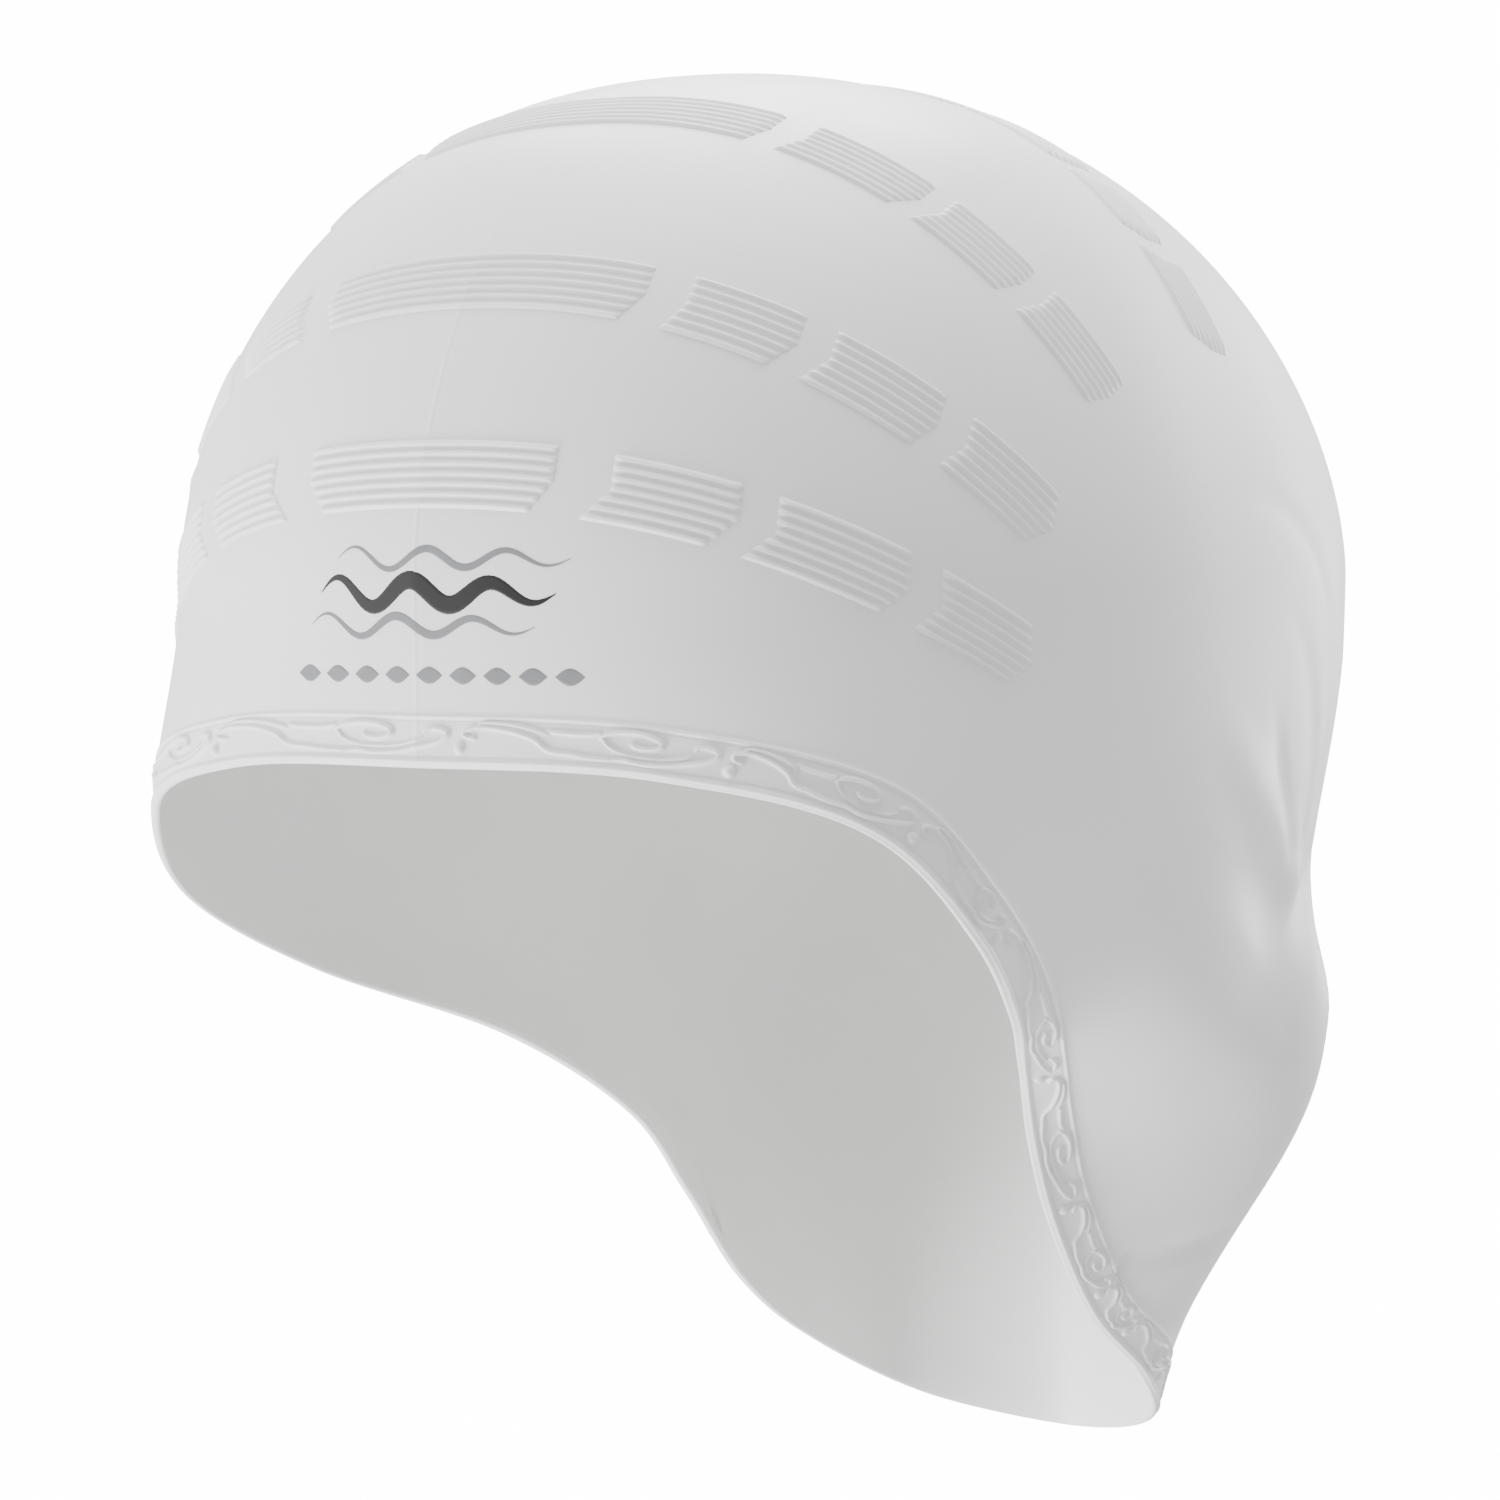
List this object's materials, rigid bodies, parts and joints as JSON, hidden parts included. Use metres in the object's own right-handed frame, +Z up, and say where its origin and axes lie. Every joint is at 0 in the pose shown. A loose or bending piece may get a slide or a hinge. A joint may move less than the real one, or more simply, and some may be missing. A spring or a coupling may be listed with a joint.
{
  "type": "silicone swim cap with ear pockets",
  "caption": "Soft hollow moulded swim cap with ear pockets, nape flap, patterned rim band and ribbed grip bars.",
  "frame": {"origin": "inside of the crown, where the cap sits on the top of the head", "axes": "+Z up through the crown, -Y towards the forehead, +X to the wearer's left"},
  "size_m": [0.1588, 0.1789, 0.2115],
  "materials": {
    "silicone": "satin moulded silicone, near white"
  },
  "bodies": {
    "root": {"cap_shell": "silicone"}
  },
  "joints": []
}
